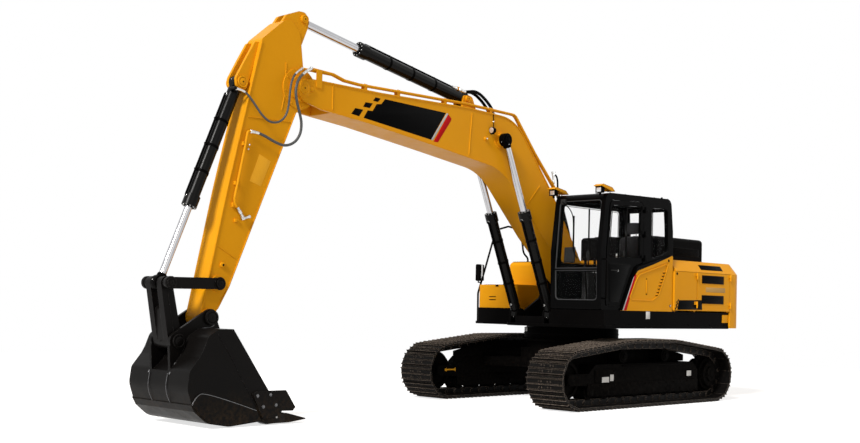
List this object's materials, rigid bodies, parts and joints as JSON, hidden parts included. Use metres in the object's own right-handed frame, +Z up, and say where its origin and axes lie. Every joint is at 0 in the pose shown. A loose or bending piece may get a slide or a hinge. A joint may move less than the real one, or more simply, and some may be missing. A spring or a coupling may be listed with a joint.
{
  "type": "crawler excavator",
  "caption": "Tracked excavator with slewing house, cab, engine bay, counterweight, boom, arm, hydraulic cylinders and bucket on its link, parked with the bucket near the ground",
  "frame": {"origin": "centre of the machine's outline on the ground, under the boom's plane of symmetry", "axes": "+X forward towards the bucket, +Y to the left, on the cab's side, +Z up"},
  "size_m": [10.145, 2.98, 4.77],
  "materials": {
    "yellow_paint": "satin paint",
    "black_paint": "satin paint",
    "undercarriage_paint": "semi-matte paint, dusty",
    "track_steel": "painted steel shoes, worn bright on the bars",
    "chrome_rod": "polished",
    "cab_black": "gloss paint",
    "glass": "clear",
    "seat_cloth": "woven",
    "plastic_dark": "moulded",
    "steel_pin": "machined",
    "engine_grey": "cast",
    "cooler_alloy": "finned",
    "hose_rubber": "braided cover"
  },
  "bodies": {
    "undercarriage": {"carbody": "undercarriage_paint", "swing_bearing": "steel_pin", "track_left": "track_steel", "rollers_left": "undercarriage_paint", "idler_left": "undercarriage_paint", "sprocket_left": "undercarriage_paint", "track_frame_left": "undercarriage_paint", "track_right": "track_steel", "rollers_right": "undercarriage_paint", "idler_right": "undercarriage_paint", "sprocket_right": "undercarriage_paint", "track_frame_right": "undercarriage_paint"},
    "house": {"main_frame": "black_paint", "counterweight": "yellow_paint", "engine_bay": "yellow_paint", "engine_block": "engine_grey", "radiator": "cooler_alloy", "left_side_panel": "yellow_paint", "pump_bay": "yellow_paint", "fuel_tank": "yellow_paint", "oil_tank": "yellow_paint", "tool_box": "yellow_paint", "cab_shell": "cab_black", "cab_glass": "glass", "operator_seat": "seat_cloth", "cab_consoles": "plastic_dark"},
    "cab_door": {"cab_door": "cab_black", "door_glass": "glass"},
    "engine_hood": {"engine_hood": "black_paint"},
    "left_front_door": {"left_front_door": "yellow_paint"},
    "left_rear_door": {"left_rear_door": "yellow_paint"},
    "right_pump_door": {"right_pump_door": "yellow_paint"},
    "tool_box_lid": {"tool_box_lid": "yellow_paint"},
    "boom": {"boom": "yellow_paint", "arm_hoses": "hose_rubber"},
    "arm": {"arm": "yellow_paint"},
    "bucket": {"bucket": "black_paint"},
    "boom_cylinder_barrels": {"boom_cylinder_barrels": "black_paint"},
    "boom_cylinder_rods": {"boom_cylinder_rods": "chrome_rod"},
    "arm_cylinder_barrel": {"arm_cylinder_barrel": "black_paint"},
    "arm_cylinder_rod": {"arm_cylinder_rod": "chrome_rod"},
    "bucket_cylinder_barrel": {"bucket_cylinder_barrel": "black_paint"},
    "bucket_cylinder_rod": {"bucket_cylinder_rod": "chrome_rod"},
    "idler_links": {"idler_links": "black_paint"},
    "h_link": {"h_link": "black_paint"}
  },
  "joints": [
    {"name": "swing", "type": "hinge", "parent": "undercarriage", "child": "house", "pos_m": [-2.145, 0, 1.06], "axis": [0, 0, 1], "continuous": true},
    {"name": "boom_lift", "type": "hinge", "parent": "house", "child": "boom", "pos_m": [-2.095, 0, 1.76], "axis": [0, -1, 0], "range_deg": [-46, 40]},
    {"name": "arm_crowd", "type": "hinge", "parent": "boom", "child": "arm", "pos_m": [3.295, 0, 3.84], "axis": [0, 1, 0], "range_deg": [-60, 56], "deforming": ["arm_hoses"]},
    {"name": "bucket_curl", "type": "hinge", "parent": "arm", "child": "bucket", "pos_m": [4.485, 0, 1.162], "axis": [0, 1, 0], "range_deg": [-88, 77]},
    {"name": "boom_cylinder_turn", "type": "hinge", "parent": "house", "child": "boom_cylinder_barrels", "pos_m": [-1.245, 0, 1.25], "axis": [0, -1, 0], "range_deg": [-43.82, 38.13]},
    {"name": "boom_rod_slide", "type": "slide", "parent": "boom_cylinder_barrels", "child": "boom_cylinder_rods", "axis": [0.4022, 0, 0.9155], "range_m": [-0.7373, 0.6414]},
    {"name": "arm_cylinder_turn", "type": "hinge", "parent": "boom", "child": "arm_cylinder_barrel", "pos_m": [0.355, 0, 4.15], "axis": [0, 1, 0], "range_deg": [-2.7, 2.54]},
    {"name": "arm_rod_slide", "type": "slide", "parent": "arm_cylinder_barrel", "child": "arm_cylinder_rod", "axis": [0.9833, 0, 0.182], "range_m": [-0.7622, 0.7115]},
    {"name": "bucket_cylinder_turn", "type": "hinge", "parent": "arm", "child": "bucket_cylinder_barrel", "pos_m": [4.08, 0, 3.812], "axis": [0, 1, 0], "range_deg": [-4.83, 4.25]},
    {"name": "bucket_rod_slide", "type": "slide", "parent": "bucket_cylinder_barrel", "child": "bucket_cylinder_rod", "axis": [0.3804, 0, -0.9248], "range_m": [-0.575, 0.5034]},
    {"name": "idler_link_turn", "type": "hinge", "parent": "arm", "child": "idler_links", "pos_m": [4.375, 0, 1.535], "axis": [0, 1, 0], "range_deg": [-54.76, 47.94]},
    {"name": "h_link_turn", "type": "hinge", "parent": "bucket", "child": "h_link", "pos_m": [4.895, 0, 0.91], "axis": [0, 1, 0], "range_deg": [-48.86, 55.82]},
    {"name": "cab_door_hinge", "type": "hinge", "parent": "house", "child": "cab_door", "pos_m": [-2.105, 1.322, 2.1], "axis": [0, 0, 1], "range_deg": [0, 160]},
    {"name": "left_front_door_hinge", "type": "hinge", "parent": "house", "child": "left_front_door", "pos_m": [-3.411, 1.376, 1.67], "axis": [0, 0, 1], "range_deg": [0, 100]},
    {"name": "left_rear_door_hinge", "type": "hinge", "parent": "house", "child": "left_rear_door", "pos_m": [-4.375, 1.376, 1.67], "axis": [0, 0, 1], "range_deg": [0, 100]},
    {"name": "right_pump_door_hinge", "type": "hinge", "parent": "house", "child": "right_pump_door", "pos_m": [-4.375, -1.376, 1.67], "axis": [0, 0, -1], "range_deg": [0, 100]},
    {"name": "engine_hood_hinge", "type": "hinge", "parent": "house", "child": "engine_hood", "pos_m": [-4.364, 0, 2.132], "axis": [0, -1, 0], "range_deg": [0, 60]},
    {"name": "tool_box_lid_hinge", "type": "hinge", "parent": "house", "child": "tool_box_lid", "pos_m": [-2.231, -0.975, 1.7], "axis": [0, -1, 0], "range_deg": [0, 80]}
  ],
  "couplings": [
    {"joint": "boom_cylinder_turn", "follows": "boom_lift", "ratio": 0.9482},
    {"joint": "boom_rod_slide", "follows": "boom_lift", "m_per_rad": 0.9159},
    {"joint": "arm_cylinder_turn", "follows": "arm_crowd", "ratio": 0.0417},
    {"joint": "arm_rod_slide", "follows": "arm_crowd", "m_per_rad": 0.7259},
    {"joint": "bucket_cylinder_turn", "follows": "bucket_curl", "ratio": 0.0526},
    {"joint": "bucket_rod_slide", "follows": "bucket_curl", "m_per_rad": 0.3731},
    {"joint": "idler_link_turn", "follows": "bucket_curl", "ratio": 0.62},
    {"joint": "h_link_turn", "follows": "bucket_curl", "ratio": -0.632}
  ]
}
